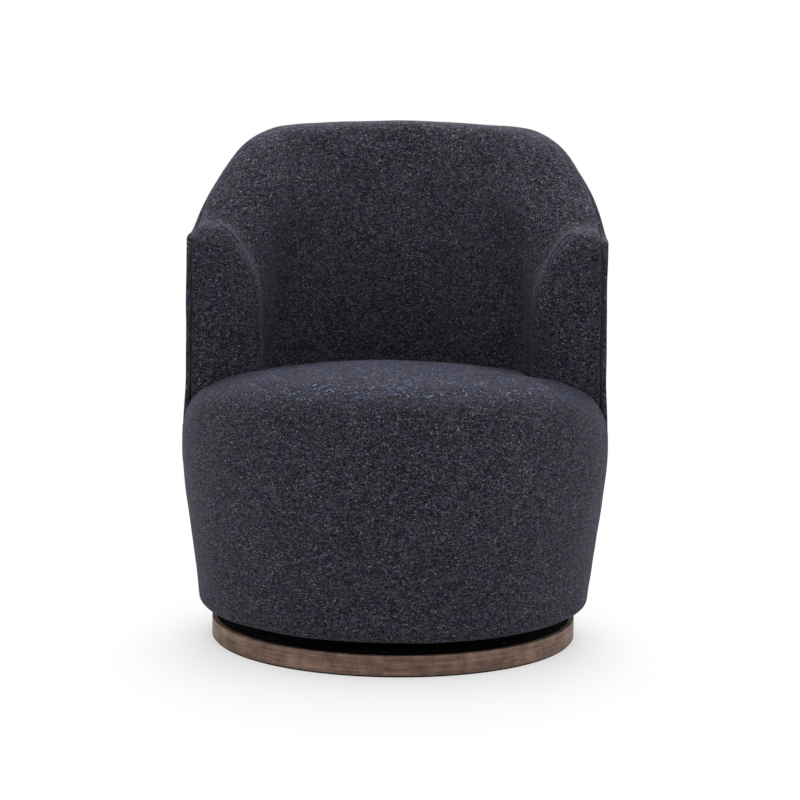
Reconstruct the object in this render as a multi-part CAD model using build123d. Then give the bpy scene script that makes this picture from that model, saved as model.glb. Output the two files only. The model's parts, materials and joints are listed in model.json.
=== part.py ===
from build123d import *
import os
from math import asin, atan, atan2, cos, degrees, hypot, radians, sin, sqrt, tan

# Swivel barrel chair, millimetres. The origin is on the floor under the swivel's axis,
# +Z is up and the chair faces -Y.

# Outside line of the seat drum and the back shell, as radius and height
WAIST_R = 351.2         # widest point, before its arc
WAIST_Z = 303
FOOT_DRAW = 32.7        # how far the drum's foot draws in from the waist
FOOT_R = WAIST_R - FOOT_DRAW
HEM_Z = 58              # underside of the upholstery
SHELL_DRAW = 7.7        # and the shell above the seat
SHELL_R = WAIST_R - SHELL_DRAW
SHOULDER_Z = 450
HEM_ARC = 14
WAIST_ARC = 500
SHOULDER_ARC = 600

# Top edge of the shell, seen from the side
ARM_EDGE_Z = 662
BACK_EDGE_Z = 803
ABOVE_ALL = BACK_EDGE_Z + 60    # a height over everything, for cutting bodies
SWEEP_FRONT_Y = 0.227 * SHELL_R     # where the arm's line turns up
SWEEP_REAR_Y = 0.656 * SHELL_R      # where the sweep meets the back's line
SWEEP_LOW_ARC = 70
SWEEP_HIGH_ARC = 115
ARM_FRONT_Y = -16       # front edge of the shell, in line with the arms
ARM_CORNER = 14         # rounding of the shell's upper front corner

# Seat
CROWN_Z = 464.5         # highest point of the seat
CROWN_Y = -145
CROWN_R = 1400          # across the seat
CROWN_LONG_R = 1450     # along the seat
SIDE_DROP_R = 0.66 * WAIST_R        # rounding down to the arms
SIDE_DROP_X = 0.67 * WAIST_R
SIDE_DROP_TURN = 50     # degrees
DOME_TURN = 24          # degrees, more than the seat takes of the long arc
SEAT_ROLL = 32          # rounding along the drum's top edge
DECK_Z = 320            # springs and ring under the seat foam

# Layers
COVER_T = 4             # fabric and its wadding
FRONT_PAD_T = 10
FRONT_BOARD_T = 5
SHELL_COVER_T = 5
SHELL_BOARD_T = 4.5
GAP = 0.3               # between layers
SEAT_GAP = 3            # seat to arms and back
GROOVE = 2.7            # pad to shell
HEM_T = 4
FRONT_STACK = COVER_T + FRONT_PAD_T + FRONT_BOARD_T + 2 * GAP
REAR_STACK = SHELL_COVER_T + SHELL_BOARD_T + GAP

# Inside of the arms and back, in sections through the chair's axis
ARM_IN = SHELL_R - 126.5        # half the width between the arms
BACK_IN = SHELL_R - 143.5       # axis to the inside back at the seat
LEAN_Z = 455            # the back leans from here up
LEAN = 0.193            # at the middle of the back
PAD_RISE = 18           # top of the pad over the shell's edge
PAD_OUTER_ARC = 32
PAD_OUT_R = SHELL_R - REAR_STACK - GROOVE
PAD_TOP_R = PAD_OUT_R - PAD_OUTER_ARC       # radius of the pad's highest line
ARM_ROLL = 163          # height of the rounded inner edge at the arms
BACK_ROLL = 85          # and at the middle of the back
ARM_TOP_ARC = 45
BACK_TOP_ARC = 26
PAD_STEP = 6            # degrees between the pad's sections
ARM_NOSE = 15           # how far the arm's rounded front stands before the axis
NOSE_DRAW = 18          # how far its inner and top edges draw in
NOSE_SIDE = 0.25        # share of that on the side next to the shell
NOSE_STEPS = ((0, 0), (0.5, 0.1), (0.85, 0.38), (1, 0.8))     # shares forward and in

# Frame
BOARD_T = 18
RING_W = 62
POST_W = 36
SEAT_POSTS = 8
RAIL_T = 28
RAIL_W = 31
RAIL_DROP = 33          # top of the rail under the shell's edge
RAIL_OUT_R = SHELL_R - REAR_STACK - 1.7
RAIL_IN_R = RAIL_OUT_R - RAIL_W
RAIL_FRONT_Y = 2
NOTCH_DROP = 22         # top of the pad's notch for the rail
WEB_T = 1.8
WEB_W = 50
PAD_BACK_R = RAIL_IN_R - WEB_T - 4 * GAP
BACK_POST_ANGLES = (-84, -50, -17, 17, 50, 84)
WEB_BANDS = ((350, 5), (430, 5), (510, 5), (590, 150), (668, 235))

# Plinth
PLINTH_R = WAIST_R - 52.2
HEM_IN_R = PLINTH_R - 15        # the hem runs in over the plinth
PLINTH_H = 35
BAND_T = 8
FOOT_H = 3
FOOT_INSET = 3
FOOT_W = 26
RIM_W = 50
RIM_T = 14
TOP_T = 16
PLINTH_SCREWS = 8
SCREW_R = 2
SCREW_HEAD_R = 4
SCREW_SHY = 2           # wood left under a screw's point
PAN_H = 2               # height of a pan head

# Swivel bearing
BALL_R = 4
BALLS = 10
RACE_R = 70
RACE_DEPTH = 1.2
RACE_FIT = 0.3          # race radius over ball radius
RACE_AIR = 0.5          # from a race's crest to the plate's flange
BALL_CLEAR = 0.06       # taken off each ball
SHEET_T = 2
SWIVEL_H = 2 * (BALL_R + SHEET_T + RACE_AIR)    # plinth to spacer
PLATE_W = 190
PLATE_CORNER = 12
STEP_R = 84             # edge of the raised centre
STEP_W = 3
BOLT_XY = 80
RETAINER_T = 1.2
RETAINER_W = 18
POCKET_CLEAR = 0.15
RIVET_R = 8
RIVET_BORE = 5
RIVET_HEAD_R = 13
RIVET_CLEAR = 0.3
CENTRE_HOLE_R = 20
SPACER_R = 140
BOLT_R = 3
BOLT_HEAD_R = 5.5
BOLT_HEAD_H = 3
TEE_R = 4
TEE_L = 12
TEE_FLANGE_R = 10
TEE_FLANGE_T = 1.5
HOLE_CLEAR = 0.1
PAST = 1                # a cutting body runs on past what it cuts
DUST_T = 0.8            # cloth under the bottom board
DUST_EDGE = 4

# Springs
SPRINGS = 5
SPRING_PITCH = 84
SPRING_WIRE = 4
SPRING_WAVE = 26        # half the width of a wave
SPRING_BENDS = 10
SPRING_ARC = 9
CLIP_L = 24
CLIP_W = 16
CLIP_T = 2
CLIP_ROOM = 8           # inside a clip, over the wire's width
CLIP_PAST = 4           # a clip's end past the wire's
FELT_R = 250

# Levels worked out from the sizes above
TOP_Z = PLINTH_H - 2                    # the plinth's top lies below its band
SWIVEL_MID = TOP_Z + SWIVEL_H / 2
SPACER_Z = TOP_Z + SWIVEL_H
BOARD_Z = HEM_Z + HEM_T                 # the hem is stapled under the bottom board
BOARD_TOP = BOARD_Z + BOARD_T
RING_Z = DECK_Z - BOARD_T - SPRING_WIRE
RING_TOP = RING_Z + BOARD_T
PAD_FLOOR = RING_TOP + SPRING_WIRE + CLIP_T + 3 * GAP     # foam lies over the clips
BEHIND = ARM_FRONT_Y + SHELL_COVER_T
SEAT_BACK_Y = ARM_FRONT_Y - SEAT_GAP


def ring(r_in, r_out, z0, z1):
    """Flat ring or, with r_in of 0, a disc."""
    body = Pos(0, 0, (z0 + z1) / 2) * Cylinder(r_out, z1 - z0)
    if r_in > 0:
        body -= Pos(0, 0, (z0 + z1) / 2) * Cylinder(r_in, z1 - z0 + 2 * PAST)
    return body


def rod(x, y, r, z0, z1):
    return Pos(x, y, (z0 + z1) / 2) * Cylinder(r, z1 - z0)


def between_y(y0, y1):
    """Everything between two heights of y."""
    return Pos(0, (y0 + y1) / 2, ABOVE_ALL / 2) * Box(2 * ABOVE_ALL, y1 - y0, ABOVE_ALL)


def between_z(z0, z1):
    return Pos(0, 0, (z0 + z1) / 2) * Box(2 * ABOVE_ALL, 2 * ABOVE_ALL, z1 - z0)


def around(radius, count, start=0):
    """Places on a circle, as x, y and angle."""
    turns = [start + 360 * k / count for k in range(count)]
    return [(radius * cos(radians(a)), radius * sin(radians(a)), a) for a in turns]


# ---- barrel and shell outlines ----

def barrel_radius(z):
    """Outside radius at a height, before the arcs."""
    if z < WAIST_Z:
        return FOOT_R + (WAIST_R - FOOT_R) * (z - HEM_Z) / (WAIST_Z - HEM_Z)
    if z < SHOULDER_Z:
        return WAIST_R + (SHELL_R - WAIST_R) * (z - WAIST_Z) / (SHOULDER_Z - WAIST_Z)
    return SHELL_R


def barrel(offset):
    """The body inside the outside line, drawn in by offset."""
    bottom = HEM_Z + min(offset, HEM_T)
    corner = max(HEM_ARC - offset, HEM_T)
    line = FilletPolyline(
        (0, bottom),
        (FOOT_R - offset, bottom),
        (WAIST_R - offset, WAIST_Z),
        (SHELL_R - offset, SHOULDER_Z),
        (SHELL_R - offset, ABOVE_ALL),
        radius=[corner, WAIST_ARC, SHOULDER_ARC],
    )
    close = Polyline((SHELL_R - offset, ABOVE_ALL), (0, ABOVE_ALL), (0, bottom))
    return revolve(Plane.XZ * make_face(line + close), Axis.Z)


def edge_height(y):
    """Height of the shell's top edge: arm line, arc, sweep, arc, back line."""
    turn = atan2(BACK_EDGE_Z - ARM_EDGE_Z, SWEEP_REAR_Y - SWEEP_FRONT_Y)
    low_cut = SWEEP_LOW_ARC * tan(turn / 2)
    high_cut = SWEEP_HIGH_ARC * tan(turn / 2)
    low_y = SWEEP_FRONT_Y - low_cut
    high_y = SWEEP_REAR_Y + high_cut
    if y <= low_y:
        return ARM_EDGE_Z
    if y <= SWEEP_FRONT_Y + low_cut * cos(turn):
        return ARM_EDGE_Z + SWEEP_LOW_ARC - sqrt(SWEEP_LOW_ARC ** 2 - (y - low_y) ** 2)
    if y <= SWEEP_REAR_Y - high_cut * cos(turn):
        return ARM_EDGE_Z + (y - SWEEP_FRONT_Y) * tan(turn)
    if y <= high_y:
        return BACK_EDGE_Z - SWEEP_HIGH_ARC + sqrt(SWEEP_HIGH_ARC ** 2 - (y - high_y) ** 2)
    return BACK_EDGE_Z


def below_edge(drop, inset=0):
    """Everything lower than the shell's top edge less a drop, and behind its front edge."""
    front = ARM_FRONT_Y + inset
    rear = 2 * WAIST_R
    line = FilletPolyline(
        (front, 0),
        (front, ARM_EDGE_Z - drop),
        (SWEEP_FRONT_Y, ARM_EDGE_Z - drop),
        (SWEEP_REAR_Y, BACK_EDGE_Z - drop),
        (rear, BACK_EDGE_Z - drop),
        radius=[ARM_CORNER - inset, SWEEP_LOW_ARC, SWEEP_HIGH_ARC],
    )
    close = Polyline((rear, BACK_EDGE_Z - drop), (rear, 0), (front, 0))
    return extrude(Plane.YZ * make_face(line + close), amount=rear, both=True)


# ---- seat ----

def dome(offset):
    """The body under the seat's crown: an arched line carried along a long arc."""
    centre_z = CROWN_Z - CROWN_R
    turn = degrees(asin(SIDE_DROP_X / CROWN_R))
    side_x = (CROWN_R - SIDE_DROP_R) * sin(radians(turn))
    side_z = centre_z + (CROWN_R - SIDE_DROP_R) * cos(radians(turn))
    sweep = SIDE_DROP_TURN - turn
    middle = CenterArc((0, centre_z), CROWN_R - offset, 90 - turn, 2 * turn)
    right = CenterArc((side_x, side_z), SIDE_DROP_R - offset, 90 - SIDE_DROP_TURN, sweep)
    left = CenterArc((-side_x, side_z), SIDE_DROP_R - offset, 90 + turn, sweep)
    foot = Polyline(left @ 1, ((left @ 1).X, 0), ((right @ 0).X, 0), right @ 0)
    face = Pos(0, CROWN_Y, 0) * (Plane.XZ * make_face(right + middle + left + foot))
    axis = Axis((0, CROWN_Y, CROWN_Z - CROWN_LONG_R), (1, 0, 0))
    return revolve(face.rotate(axis, -DOME_TURN), axis, 2 * DOME_TURN)


def seat_plan(offset):
    """The seat seen from above: the drum's front half and a tongue between the arms."""
    half = ARM_IN - SEAT_GAP - offset
    depth = BACK_IN - SEAT_GAP - offset
    front = SEAT_BACK_Y - offset
    plan = Ellipse(half, depth) + Pos(0, front) * Rectangle(2 * half, -2 * front)
    plan += Pos(0, front - WAIST_R) * Rectangle(4 * WAIST_R, 2 * WAIST_R)
    return extrude(plan, ABOVE_ALL)


def seat_body(offset):
    body = barrel(offset) & dome(offset)
    rim = [e for e in body.edges() if hypot((e @ 0.5).X, (e @ 0.5).Y) > SHELL_R - SEAT_ROLL
           and (e @ 0.5).Z > DECK_Z]
    return fillet(rim, SEAT_ROLL - offset) & seat_plan(offset)


def seat_cover():
    body = seat_body(0) - seat_body(COVER_T)
    body -= barrel(COVER_T) & between_z(0, PAD_FLOOR)
    return body - ring(0, HEM_IN_R, 0, DECK_Z / 2)


def seat_foam():
    return seat_body(COVER_T + GAP) & between_z(PAD_FLOOR, ABOVE_ALL)


def curved_board(outer, inner, z0, z1):
    """A thin board bent round the barrel, between two depths under its surface."""
    return (barrel(outer) - barrel(inner)) & between_z(z0, z1)


def front_padding():
    outer = COVER_T + GAP
    sheet = curved_board(outer, outer + FRONT_PAD_T, BOARD_TOP, DECK_Z - GAP)
    return sheet & between_y(-2 * WAIST_R, SEAT_BACK_Y - COVER_T - GAP)


def front_board():
    inner = FRONT_STACK
    sheet = curved_board(inner - FRONT_BOARD_T, inner, BOARD_Z + GAP, RING_TOP)
    return sheet & between_y(-2 * WAIST_R, SEAT_BACK_Y - COVER_T - GAP)


# ---- shell ----

def outer_cover():
    """Fabric of the shell, rolled over its front and top edges and under the hem."""
    wall = barrel(0) - barrel(SHELL_COVER_T + SHELL_BOARD_T + GAP)
    core = barrel(SHELL_COVER_T) & below_edge(SHELL_COVER_T, SHELL_COVER_T)
    return (wall & below_edge(0)) - core - ring(0, HEM_IN_R, 0, DECK_Z / 2)


def outer_board():
    outer = SHELL_COVER_T + GAP
    sheet = curved_board(outer, outer + SHELL_BOARD_T, BOARD_Z + GAP, ABOVE_ALL)
    return sheet & below_edge(outer, outer)


# ---- inside pad ----

def pad_section(turn, offset, cut, nose=False, drawn=0):
    """The pad's outline in one upright plane through the axis, drawn in by offset.

    turn is 0 at the middle of the back and 90 at an arm's front. The pad is notched for
    the rail and posts, apart from an arm's nose, which covers their ends and is drawn in
    further, less so next to the shell. A cut section runs on past the pad's back and
    underside, so that taking it away leaves the skin.
    """
    side = sin(radians(turn)) ** 2
    top = edge_height(SHELL_R * cos(radians(turn))) + PAD_RISE
    inner = BACK_IN + (ARM_IN - BACK_IN) * side
    lean = LEAN * (1 - side)
    roll_z = top - BACK_ROLL - (ARM_ROLL - BACK_ROLL) * side
    small = BACK_TOP_ARC + (ARM_TOP_ARC - BACK_TOP_ARC) * side

    # a large arc leaves the leaning face and meets a small arc under the highest line
    start = Vector(inner + lean * (roll_z - LEAN_Z), roll_z)
    normal = Vector(cos(atan(lean)), -sin(atan(lean)))
    small_mid = Vector(PAD_TOP_R, top - small)
    reach = small_mid - start
    large = (reach.length ** 2 - small ** 2) / (2 * (reach.dot(normal) - small))
    large_mid = start + normal * large
    meet = (small_mid - large_mid).normalized()
    half_large = (meet - normal).normalized()
    half_small = (meet + Vector(0, 1)).normalized()

    past = 2 * PAST if cut else 0
    inset = offset + drawn
    floor_z = PAD_FLOOR + GAP - past
    notch_z = top - PAD_RISE - NOTCH_DROP - past
    back = PAD_BACK_R + past
    outer_mid = Vector(PAD_TOP_R, top - PAD_OUTER_ARC)
    outer_w = PAD_OUTER_ARC - offset - NOSE_SIDE * drawn
    outer_h = PAD_OUTER_ARC - inset
    face_foot = Vector(inner + inset, floor_z)
    face_bend = Vector(inner + inset, LEAN_Z)
    face_top = start + normal * inset
    join = small_mid + meet * (small - inset)
    apex = Vector(PAD_TOP_R, top - inset)
    rim = outer_mid + Vector(outer_w, 0)
    rim_foot = Vector(rim.X, notch_z)
    lines = [
        Line(face_foot, face_bend),
        Line(face_bend, face_top),
        ThreePointArc(face_top, large_mid + half_large * (large - inset), join),
        ThreePointArc(join, small_mid + half_small * (small - inset), apex),
        ThreePointArc(apex, outer_mid + Vector(outer_w, outer_h) * sqrt(0.5), rim),
    ]
    if nose:
        corners = [rim, Vector(rim.X, floor_z), face_foot]
    else:
        corners = [rim, rim_foot, Vector(back, notch_z), Vector(back, floor_z), face_foot]
    return make_face(lines + [Line(a, b) for a, b in zip(corners, corners[1:])])


def pad_plane(turn, y=0):
    across = (sin(radians(turn)), cos(radians(turn)), 0)
    facing = (cos(radians(turn)), -sin(radians(turn)), 0)
    return Plane(origin=(0, y, 0), x_dir=across, z_dir=facing)


def pad_body(offset, cut=False):
    """Arms and back as one loft, with a rounded nose on each arm."""
    turns = range(-90, 91, PAD_STEP)
    body = loft([pad_plane(t) * pad_section(t, offset, cut) for t in turns])
    for turn in (-90, 90):
        faces = []
        for forward, drawn in NOSE_STEPS:
            face = pad_section(turn, offset, cut, nose=True, drawn=drawn * NOSE_DRAW)
            faces.append(pad_plane(turn, -forward * (ARM_NOSE - offset)) * face)
        body += loft(faces, ruled=True)
    return body


def inside_cover():
    return pad_body(0) - pad_body(COVER_T, cut=True)


def inside_foam():
    return pad_body(COVER_T + GAP)


# ---- frame ----

def two_part_disc(z0, z1, inner):
    """A ring board whose edge follows the front board, and the shell's behind the arms."""
    front = barrel(FRONT_STACK + 2 * GAP)
    rear = barrel(REAR_STACK + 2 * GAP) & between_y(BEHIND, WAIST_R)
    return ((front + rear) & between_z(z0, z1)) - ring(0, inner, z0 - PAST, z1 + PAST)


def bottom_board():
    body = two_part_disc(BOARD_Z, BOARD_TOP, CENTRE_HOLE_R)
    for x, y, _ in around(BOLT_XY * sqrt(2), 4):
        body -= rod(x, y, TEE_R + HOLE_CLEAR, BOARD_Z - PAST, BOARD_TOP + PAST)
    return body


def seat_ring():
    inner = barrel_radius(RING_Z) - FRONT_STACK - RING_W
    return two_part_disc(RING_Z, RING_TOP, inner)


def seat_posts():
    centre = barrel_radius(BOARD_TOP) - FRONT_STACK - POST_W * 0.75
    middle = (BOARD_TOP + RING_Z) / 2
    post = Box(POST_W, POST_W, RING_Z - BOARD_TOP)
    places = around(centre, SEAT_POSTS, 180 / SEAT_POSTS)
    return Compound(children=[Pos(x, y, middle) * Rot(0, 0, a) * post for x, y, a in places])


def rail_height():
    """The band that the top rail fills, seen from the side."""
    return below_edge(RAIL_DROP) - below_edge(RAIL_DROP + RAIL_T)


def top_rail():
    curve = ring(RAIL_IN_R, RAIL_OUT_R, ARM_EDGE_Z - 2 * RAIL_DROP - RAIL_T, ABOVE_ALL)
    return curve & rail_height() & between_y(RAIL_FRONT_Y, WAIST_R)


def back_posts():
    room = below_edge(RAIL_DROP + RAIL_T + GAP)
    middle = RAIL_OUT_R - RAIL_W / 2
    long_post = Box(POST_W, RAIL_W, ABOVE_ALL - RING_TOP)
    posts = []
    for turn in BACK_POST_ANGLES:
        place = Rot(0, 0, -turn) * Pos(0, middle, (RING_TOP + ABOVE_ALL) / 2)
        posts.append(place * long_post & room)
    return Compound(children=[s for p in posts for s in p.solids()])


def back_webbing():
    """Bands bent round the inside of the posts, each behind its own line of y."""
    outer = RAIL_IN_R - GAP
    bands = []
    for z, y in WEB_BANDS:
        bands.append(ring(outer - WEB_T, outer, z, z + WEB_W) & between_y(y, WAIST_R))
    return Compound(children=[s for b in bands for s in b.solids()])


# ---- springs ----

def spring_places():
    inner = barrel_radius(RING_Z) - FRONT_STACK - RING_W
    first = -SPRING_PITCH * (SPRINGS - 1) / 2
    for k in range(SPRINGS):
        x = first + k * SPRING_PITCH
        yield x, sqrt(inner ** 2 - x ** 2) + CLIP_L / 2


def seat_springs():
    """Zigzag wires laid front to back on the ring."""
    wires = []
    for x, reach in spring_places():
        first = CLIP_L - reach
        step = -2 * first / (SPRING_BENDS + 1)
        bends = [(SPRING_WAVE * (1 if k % 2 else -1), first + (k + 1) * step)
                 for k in range(SPRING_BENDS)]
        front_end = [(0, -reach), (0, first)]
        rear_end = [(0, -first), (0, reach)]
        line = FilletPolyline(*front_end, *bends, *rear_end, radius=SPRING_ARC)
        flat = Pos(x, 0, RING_TOP) * trace(line, SPRING_WIRE)
        wires.append(extrude(flat, SPRING_WIRE))
    return Compound(children=[s for w in wires for s in w.solids()])


def spring_clips():
    """A bent strap over each end of each wire, open towards the seat's middle."""
    over = SPRING_WIRE + 2 * GAP
    block = Box(CLIP_W, CLIP_L, over + CLIP_T)
    room = Box(SPRING_WIRE + CLIP_ROOM, CLIP_L, over)
    clips = []
    for x, reach in spring_places():
        for way in (-1, 1):
            hood = block - Pos(0, -way * CLIP_T, -CLIP_T / 2) * room
            y = way * (reach + CLIP_T + CLIP_PAST - CLIP_L / 2)
            clips.append(Pos(x, y, RING_TOP + (over + CLIP_T) / 2) * hood)
    return Compound(children=[s for c in clips for s in c.solids()])


def spring_felt():
    """Felt between the springs and the foam."""
    return ring(0, FELT_R, RING_TOP + SPRING_WIRE + GAP, PAD_FLOOR - GAP)


# ---- plinth ----

def foot_ring():
    return ring(PLINTH_R - FOOT_INSET - FOOT_W, PLINTH_R - FOOT_INSET, 0, FOOT_H)


def plinth_band():
    return ring(PLINTH_R - BAND_T, PLINTH_R, FOOT_H, PLINTH_H)


def screw_places():
    return around(PLINTH_R - BAND_T - RIM_W / 2, PLINTH_SCREWS)


def plinth_rim():
    body = ring(PLINTH_R - BAND_T - RIM_W, PLINTH_R - BAND_T, FOOT_H, FOOT_H + RIM_T)
    for x, y, _ in screw_places():
        body -= rod(x, y, SCREW_R + HOLE_CLEAR, FOOT_H + SCREW_SHY, TOP_Z)
    return body


def screw(x, y, z_head, length, clear=0):
    """Countersunk screw, or its hole when clear is more than 0."""
    cone = Cone(SCREW_R + clear, SCREW_HEAD_R + clear, SCREW_HEAD_R)
    head = Pos(x, y, z_head - SCREW_HEAD_R / 2) * cone
    return head + rod(x, y, SCREW_R + clear, z_head - length, z_head - SCREW_HEAD_R / 2)


def plinth_top():
    body = ring(CENTRE_HOLE_R, PLINTH_R - BAND_T, FOOT_H + RIM_T, TOP_Z)
    for x, y, _ in screw_places():
        body -= screw(x, y, TOP_Z, TOP_T + SCREW_HEAD_R, HOLE_CLEAR)
    for x, y in plate_corners():
        body -= rod(x, y, SCREW_R + HOLE_CLEAR, FOOT_H + RIM_T + SCREW_SHY, TOP_Z + PAST)
    return body


def plinth_screws():
    length = TOP_T + RIM_T - 2 * SCREW_SHY
    screws = [screw(x, y, TOP_Z - HOLE_CLEAR, length) for x, y, _ in screw_places()]
    return Compound(children=screws)


# ---- swivel bearing ----

def plate_corners():
    return [(x, y) for x in (-BOLT_XY, BOLT_XY) for y in (-BOLT_XY, BOLT_XY)]


def bearing_plate(bore):
    """Lower pressed plate: a square flange, a raised centre and a coined ball race."""
    flange_low = TOP_Z
    flange_top = TOP_Z + SHEET_T
    raised = SWIVEL_MID - BALL_R + RACE_DEPTH
    race = BALL_R + RACE_FIT
    race_mid = raised - RACE_DEPTH + race
    top_half = sqrt(race ** 2 - (race - RACE_DEPTH) ** 2)
    under = race + SHEET_T
    under_half = sqrt(under ** 2 - (under - RACE_DEPTH) ** 2)
    low = raised - SHEET_T
    join_r = STEP_R + 2 * STEP_W
    upper_line = [
        Line((bore, raised), (RACE_R - top_half, raised)),
        ThreePointArc((RACE_R - top_half, raised), (RACE_R, race_mid - race),
                      (RACE_R + top_half, raised)),
        Polyline((RACE_R + top_half, raised), (STEP_R, raised),
                 (STEP_R + STEP_W, flange_top), (join_r, flange_top)),
    ]
    lower_line = [
        Polyline((join_r, flange_top), (join_r, flange_low), (STEP_R + STEP_W, flange_low),
                 (STEP_R, low), (RACE_R + under_half, low)),
        ThreePointArc((RACE_R + under_half, low), (RACE_R, race_mid - under),
                      (RACE_R - under_half, low)),
        Polyline((RACE_R - under_half, low), (bore, low), (bore, raised)),
    ]
    centre = revolve(Plane.XZ * make_face(upper_line + lower_line), Axis.Z)
    square = Pos(0, 0, flange_low) * RectangleRounded(PLATE_W, PLATE_W, PLATE_CORNER)
    flange = extrude(square, SHEET_T) - ring(0, STEP_R + 1.5 * STEP_W, 0, SWIVEL_MID)
    return centre + flange


def swivel_lower_plate():
    body = bearing_plate(RIVET_R + HOLE_CLEAR / 2)
    for x, y in plate_corners():
        body -= rod(x, y, SCREW_R + HOLE_CLEAR, 0, SWIVEL_MID)
    return body


def swivel_upper_plate():
    upside_down = mirror(bearing_plate(RIVET_R + RIVET_CLEAR), Plane.XY.offset(SWIVEL_MID))
    body = upside_down.rotate(Axis.Z, 45)
    for x, y, _ in around(BOLT_XY * sqrt(2), 4):
        body -= rod(x, y, BOLT_R + HOLE_CLEAR, TOP_Z, SPACER_Z + PAST)
    return body


def lower_plate_screws():
    """Pan-head screws through the lower plate's corners."""
    flange_top = TOP_Z + SHEET_T
    screws = []
    for x, y in plate_corners():
        shank = rod(x, y, SCREW_R, FOOT_H + RIM_T + 2 * SCREW_SHY, flange_top)
        screws.append(shank + rod(x, y, SCREW_HEAD_R, flange_top, flange_top + PAN_H))
    return Compound(children=screws)


def pivot_rivet():
    """Hollow rivet that holds the two plates together."""
    lower = SWIVEL_MID - BALL_R + RACE_DEPTH - SHEET_T
    upper = 2 * SWIVEL_MID - lower + RIVET_CLEAR
    body = rod(0, 0, RIVET_R, lower - SHEET_T, upper + SHEET_T)
    body += rod(0, 0, RIVET_HEAD_R, lower - SHEET_T, lower)
    body += rod(0, 0, RIVET_HEAD_R, upper, upper + SHEET_T)
    return body - rod(0, 0, RIVET_BORE, 0, BOARD_TOP)


def ball_retainer():
    body = ring(RACE_R - RETAINER_W / 2, RACE_R + RETAINER_W / 2,
                SWIVEL_MID - RETAINER_T / 2, SWIVEL_MID + RETAINER_T / 2)
    for x, y, _ in around(RACE_R, BALLS):
        body -= rod(x, y, BALL_R + POCKET_CLEAR, TOP_Z, SPACER_Z)
    return body


def bearing_balls():
    ball = Sphere(BALL_R - BALL_CLEAR)
    return Compound(children=[Pos(x, y, SWIVEL_MID) * ball for x, y, _ in around(RACE_R, BALLS)])


def swivel_spacer():
    body = ring(CENTRE_HOLE_R, SPACER_R, SPACER_Z, BOARD_Z)
    for x, y, _ in around(BOLT_XY * sqrt(2), 4):
        body -= rod(x, y, BOLT_R + HOLE_CLEAR, SPACER_Z - PAST, BOARD_Z + PAST)
    return body


def upper_plate_bolts():
    """Bolts up through the upper plate, the spacer and the board into tee nuts."""
    plate_low = SPACER_Z - SHEET_T
    bolts = []
    for x, y, _ in around(BOLT_XY * sqrt(2), 4):
        head = rod(x, y, BOLT_HEAD_R, plate_low - BOLT_HEAD_H, plate_low)
        bolts.append(head + rod(x, y, BOLT_R, plate_low, BOARD_TOP - TEE_FLANGE_T))
    return Compound(children=bolts)


def tee_nuts():
    nuts = []
    for x, y, _ in around(BOLT_XY * sqrt(2), 4):
        flange_top = BOARD_TOP + TEE_FLANGE_T
        nut = rod(x, y, TEE_R, BOARD_TOP - TEE_L, BOARD_TOP)
        nut += rod(x, y, TEE_FLANGE_R, BOARD_TOP, flange_top)
        nuts.append(nut - rod(x, y, BOLT_R + HOLE_CLEAR, BOARD_Z, flange_top + PAST))
    return Compound(children=nuts)


def dust_cover():
    """Thin black cloth under the bottom board, inside the hem."""
    return ring(SPACER_R + DUST_EDGE, HEM_IN_R - PAST, BOARD_Z - DUST_T, BOARD_Z)


PARTS = {
    "foot_ring": foot_ring,
    "plinth_band": plinth_band,
    "plinth_rim": plinth_rim,
    "plinth_top": plinth_top,
    "plinth_screws": plinth_screws,
    "swivel_lower_plate": swivel_lower_plate,
    "lower_plate_screws": lower_plate_screws,
    "pivot_rivet": pivot_rivet,
    "ball_retainer": ball_retainer,
    "bearing_balls": bearing_balls,
    "swivel_upper_plate": swivel_upper_plate,
    "upper_plate_bolts": upper_plate_bolts,
    "tee_nuts": tee_nuts,
    "swivel_spacer": swivel_spacer,
    "bottom_board": bottom_board,
    "dust_cover": dust_cover,
    "seat_posts": seat_posts,
    "seat_ring": seat_ring,
    "seat_springs": seat_springs,
    "spring_clips": spring_clips,
    "spring_felt": spring_felt,
    "front_board": front_board,
    "front_padding": front_padding,
    "seat_foam": seat_foam,
    "seat_cover": seat_cover,
    "back_posts": back_posts,
    "top_rail": top_rail,
    "back_webbing": back_webbing,
    "inside_foam": inside_foam,
    "inside_cover": inside_cover,
    "outer_board": outer_board,
    "outer_cover": outer_cover,
}

os.makedirs("parts", exist_ok=True)
for name, make in PARTS.items():
    export_step(make(), f"parts/{name}.step")
    print("wrote", name)
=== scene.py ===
import bmesh
import bpy
import json
import numpy as np
from math import atan2, cos, radians, sin, sqrt, tan
from mathutils import Matrix, Vector


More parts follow.
